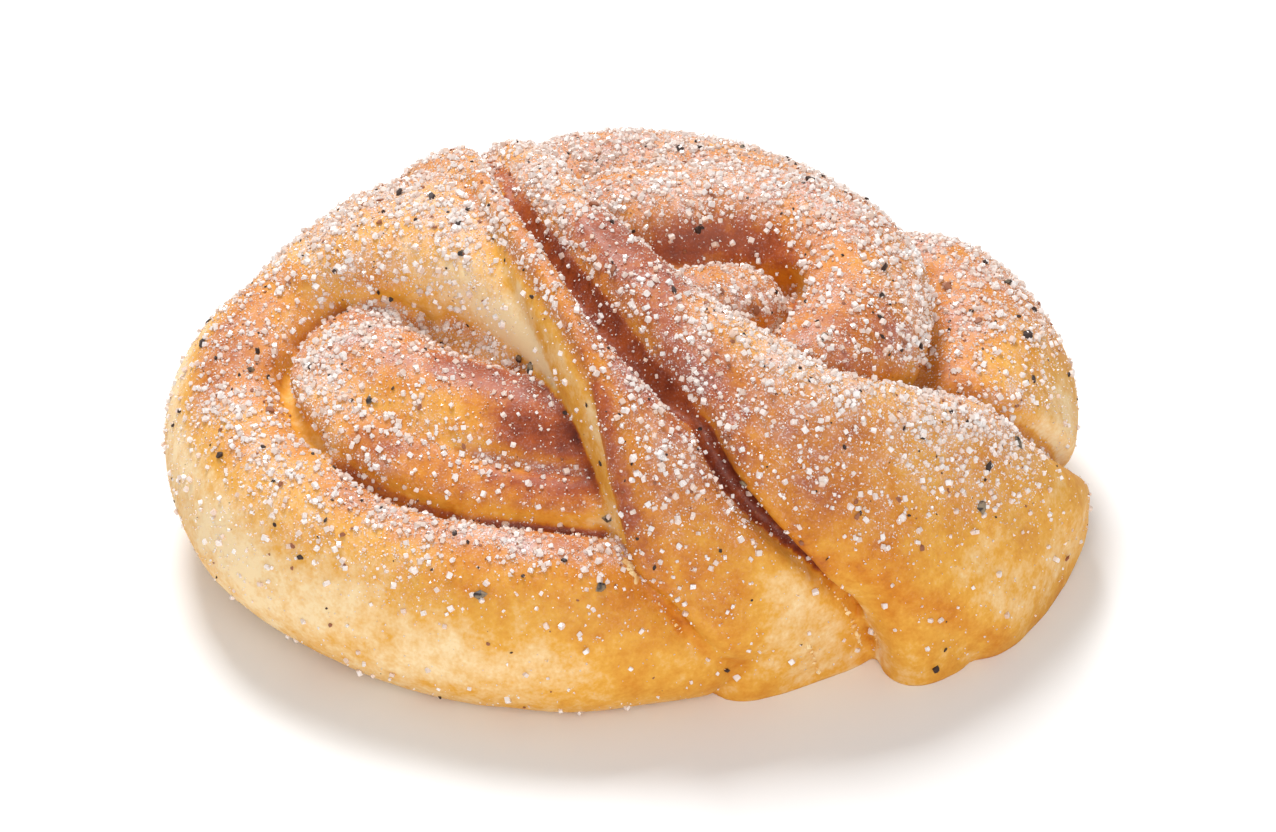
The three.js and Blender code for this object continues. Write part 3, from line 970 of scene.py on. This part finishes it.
class BUN_OT_crust(Operator):
    """Plaits the dough, welds it, cuts its base flat and bakes it"""

    bl_idname = "bun.crust"
    bl_label = "Dough and Crust"

    def execute(self, context):
        settings = context.scene.bun_crust
        strands = joined([core_dome()] + [strand_tube(name) for name in STRANDS])
        dough = mesh_from("bun_crust", *strands)
        skin = welded(dough, settings.voxel)
        draw_in(skin)
        mesh = welded(skin, settings.voxel)
        bpy.data.meshes.remove(dough)
        bpy.data.meshes.remove(skin)
        mesh.name = "bun_crust"
        points = neighbour_mean(mesh, vertex_vectors(mesh, "co"), settings.softening)
        mesh.vertices.foreach_set("co", points.ravel())
        mesh.update()
        normals = vertex_vectors(mesh, "normal")
        swelling = sum(amount * lumps(points, size * MM, seed) for size, amount, seed in SWELLINGS)
        points += normals * (settings.lumpiness * swelling)[:, None]
        above = points[points[:, 2] > 0]
        low = np.append(above[:, :2].min(0), 0)
        scale = (BOX_HIGH - BOX_LOW) / (above.max(0) - low)

        def to_box(places):
            return (places - low) * scale + BOX_LOW

        def from_box(places):
            return (places - BOX_LOW) / scale + low

        mesh.vertices.foreach_set("co", to_box(points).ravel())
        mesh.update()
        cut_flat(mesh)
        drop_pockets(mesh)
        mesh.polygons.foreach_set("use_smooth", np.ones(len(mesh.polygons), bool))
        bake_and_dust(mesh, to_box, from_box)
        piece = placed("bun_crust", mesh, crust_material(settings))
        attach(piece, "root")
        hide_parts("bun")
        return {"FINISHED"}


class BUN_OT_sugar(Operator):
    """Strews coarse, middling and fine grains of sugar over the crust"""

    bl_idname = "bun.sugar"
    bl_label = "Sugar"

    def execute(self, context):
        settings = context.scene.bun_sugar
        skin = bpy.data.objects["bun_crust"].data
        material, tree, shader = new_material(
            "sugar", Roughness=0.12, IOR=1.55, Transmission_Weight=0.16
        )
        clear, cloudy = tuple(settings.clear), tuple(settings.cloudy)
        tone = mixed(tree, read_attribute(tree, "cloudy"), clear, cloudy)
        tree.links.new(tone, shader.inputs["Base Color"])
        sugar = attribute(skin, "sugar")
        # Name, count and size, then the chamfer of a cube or the corners of a rounder grain, seed.
        lots = (
            ("sugar_coarse_1", settings.coarse, settings.coarse_size, 0.34, 0, 21),
            ("sugar_coarse_2", settings.coarse, settings.coarse_size, 0.22, 0, 22),
            ("sugar_middling_1", settings.middling, settings.middling_size, 0, 8, 25),
            ("sugar_middling_2", settings.middling, settings.middling_size, 0, 8, 26),
            ("sugar_fine_1", settings.fine, settings.fine_size, 0, 7, 23),
            ("sugar_fine_2", settings.fine, settings.fine_size, 0, 7, 24),
        )
        for name, count, size, chamfer, rounder, seed in lots:
            rng = np.random.default_rng(seed)
            places, normals = strewn(skin, (sugar**1.2 + 0.02) * off_floor(skin), count, rng)
            sizes = size / 2 * rng.uniform(0.5, 1.3, (count, 1)) * rng.uniform(0.7, 1.1, (count, 3))
            turns = resting_turns(rng, normals, 0.6)
            places = places + normals * sizes[:, 2:] * rng.uniform(0.0, 0.7, (count, 1))
            if chamfer:
                corners = chamfered_cube(chamfer)
                corners = corners * rng.uniform(0.82, 1.1, corners.shape)
            else:
                corners = unit(rng.normal(size=(rounder, 3)))
            shape = template(corners)
            mesh = copies(name, shape, places, turns, sizes)
            tones = rng.uniform(0, 1, count) ** 0.6
            set_attribute(mesh, "cloudy", np.repeat(tones, len(shape[0])))
            piece = placed(name, mesh, material)
            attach(piece, "root")
        return {"FINISHED"}


class BUN_OT_cardamom(Operator):
    """Strews crushed cardamom seeds and flecks of husk among the sugar"""

    bl_idname = "bun.cardamom"
    bl_label = "Cardamom"

    def execute(self, context):
        settings = context.scene.bun_cardamom
        skin = bpy.data.objects["bun_crust"].data
        sugar = attribute(skin, "sugar")
        # Name, count, size, colour, seed of the random numbers.
        lots = (
            ("cardamom_seeds", settings.seeds, settings.seed_size, settings.seed_colour, 31),
            ("cardamom_husks", settings.husks, settings.seed_size, settings.husk_colour, 32),
        )
        for name, count, size, colour, seed in lots:
            rng = np.random.default_rng(seed)
            material, _, _ = new_material(name, Base_Color=(*colour, 1), Roughness=0.6)
            places, normals = strewn(skin, (sugar + 0.06) * off_floor(skin), count, rng)
            grow = rng.lognormal(-0.5, 0.5, (count, 1)).clip(0.3, 2.2)
            sizes = size / 2 * grow * rng.uniform((0.7, 0.5, 0.35), (1.3, 0.9, 0.7), (count, 3))
            turns = resting_turns(rng, normals, 0.3)
            places = places + normals * sizes[:, 2:] * 0.4
            shape = template(unit(np.random.default_rng(seed + 10).normal(size=(12, 3))))
            piece = placed(name, copies(name, shape, places, turns, sizes), material)
            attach(piece, "root")
        return {"FINISHED"}


class BUN_OT_large_seeds(Operator):
    """Lays the larger pieces of cardamom"""

    bl_idname = "bun.large_seeds"
    bl_label = "Large Seeds"

    def execute(self, context):
        crust = bpy.data.objects["bun_crust"]
        rng = np.random.default_rng(51)
        material, tree, shader = new_material("cardamom_large", Roughness=0.55)
        dark, grey = linear(46, 34, 30), linear(140, 122, 98)
        speck = ranged(tree, noise_node(tree, 0.8 * MM, 3), 0.4, 0.62)
        tree.links.new(mixed(tree, speck, dark, grey), shader.inputs["Base Color"])
        spots = [on_skin(crust, *row[:3]) for row in LARGE_SEEDS]
        places, normals = (np.vstack(part) for part in zip(*spots))
        lengths = np.array([row[3] for row in LARGE_SEEDS])[:, None] * MM
        sizes = lengths / 2 * rng.uniform((0.9, 0.5, 0.35), (1.1, 0.8, 0.5), (len(lengths), 3))
        turns = resting_turns(rng, normals, 0.2)
        shape = template(unit(rng.normal(size=(22, 3))))
        mesh = copies("cardamom_large", shape, places + normals * sizes[:, 2:] * 0.5, turns, sizes)
        piece = placed("cardamom_large", mesh, material)
        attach(piece, "root")
        return {"FINISHED"}


class BUN_OT_crumbs(Operator):
    """Tears the straps' edges into crumbs"""

    bl_idname = "bun.crumbs"
    bl_label = "Crumbs"

    def execute(self, context):
        settings = context.scene.bun_crumbs
        crust = bpy.data.objects["bun_crust"]
        rng = np.random.default_rng(41)
        places, normals, lengths = [], [], []
        for name, start, end, side, count, length in TORN_EDGES:
            spots = on_skin(crust, name, rng.uniform(start, end, count), side)
            places.append(spots[0])
            normals.append(spots[1])
            lengths.append(np.full((count, 1), length * MM))
        places, normals, lengths = (np.vstack(rows) for rows in (places, normals, lengths))
        count = len(places)
        sizes = lengths / 2 * settings.size * rng.uniform(0.4, 1.1, (count, 1))
        sizes = sizes * rng.uniform((0.8, 0.5, 0.4), (1.4, 0.9, 0.8), (count, 3))
        places[:, 2] = np.maximum(places[:, 2], sizes.max(1))
        turns = resting_turns(rng, normals, 0.7)
        shape = template(unit(rng.normal(size=(16, 3))) * rng.uniform(0.7, 1.1, (16, 1)))
        material, tree, shader = new_material("crumb", Roughness=0.8)
        tint = ranged(tree, noise_node(tree, 1.5 * MM, 2), 0.4, 0.65)
        colour = mixed(tree, tint, tuple(settings.colour), linear(226, 168, 84))
        tree.links.new(colour, shader.inputs["Base Color"])
        mesh = copies("dough_crumbs", shape, places + normals * sizes[:, 2:] * 0.1, turns, sizes)
        piece = placed("dough_crumbs", mesh, material)
        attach(piece, "root")
        return {"FINISHED"}


class BUN_OT_stage(Operator):
    """Sets the floor, the soft light and the camera"""

    bl_idname = "bun.stage"
    bl_label = "Stage"

    def execute(self, context):
        settings = context.scene.bun_stage
        scene = context.scene
        corners = np.array([(-1, -1, 0), (1, -1, 0), (1, 1, 0), (-1, 1, 0)]) * FLOOR_HALF
        material, _, _ = new_material("floor", Base_Color=(0.9, 0.9, 0.9, 1), Roughness=0.8)
        floor = placed("floor", mesh_from("floor", corners, np.array([[0, 1, 2, 3]])), material)
        world = bpy.data.worlds.new("studio")
        world.use_nodes = True
        world.node_tree.nodes["Background"].inputs["Color"].default_value = (1, 1, 1, 1)
        world.node_tree.nodes["Background"].inputs["Strength"].default_value = settings.world
        scene.world = world
        middle = Vector((0.0, 0.0, HEIGHT / 2))
        for name, place, size, power in LAMPS:
            lamp = bpy.data.lights.new(name, "AREA")
            lamp.size = size
            lamp.energy = power
            light = bpy.data.objects.new(name, lamp)
            light.location = place
            light.rotation_euler = (Vector(place) - middle).to_track_quat("Z", "Y").to_euler()
            scene.collection.objects.link(light)
        target = Vector(LOOK_AT)
        back = Vector((0, -math.cos(settings.elevation), math.sin(settings.elevation)))
        camera = bpy.data.objects.new("camera", bpy.data.cameras.new("camera"))
        camera.data.lens = settings.lens
        camera.data.clip_start = 0.01
        camera.location = target + back * settings.distance
        camera.rotation_euler = back.to_track_quat("Z", "Y").to_euler()
        scene.collection.objects.link(camera)
        scene.camera = camera
        scene.view_settings.view_transform = "Standard"
        return {"FINISHED"}


class BUN_PT_panel(Panel):
    """Sizes, colours and makers of the bun"""

    bl_idname = "BUN_PT_panel"
    bl_label = "Cardamom Bun"
    bl_space_type = "VIEW_3D"
    bl_region_type = "UI"
    bl_category = "Bun"

    def draw(self, context):
        for name, (settings, *operators) in PARTS.items():
            box = self.layout.box()
            for field in settings.__annotations__:
                box.prop(getattr(context.scene, name), field)
            for operator in operators:
                box.operator(operator.bl_idname)


PARTS = {
    "bun_crust": (CrustSettings, BUN_OT_crust),
    "bun_sugar": (SugarSettings, BUN_OT_sugar),
    "bun_cardamom": (CardamomSettings, BUN_OT_cardamom, BUN_OT_large_seeds),
    "bun_crumbs": (CrumbSettings, BUN_OT_crumbs),
    "bun_stage": (StageSettings, BUN_OT_stage),
}


def register():
    for name, (settings, *operators) in PARTS.items():
        bpy.utils.register_class(settings)
        setattr(bpy.types.Scene, name, PointerProperty(type=settings))
        for operator in operators:
            bpy.utils.register_class(operator)
    bpy.utils.register_class(BUN_PT_panel)


def unregister():
    bpy.utils.unregister_class(BUN_PT_panel)
    for name, (settings, *operators) in PARTS.items():
        for operator in operators:
            bpy.utils.unregister_class(operator)
        delattr(bpy.types.Scene, name)
        bpy.utils.unregister_class(settings)


def main():
    register()
    bpy.ops.bun.crust()
    bpy.ops.bun.sugar()
    bpy.ops.bun.cardamom()
    bpy.ops.bun.large_seeds()
    bpy.ops.bun.crumbs()
    bpy.ops.bun.stage()


if __name__ == "__main__":
    main()
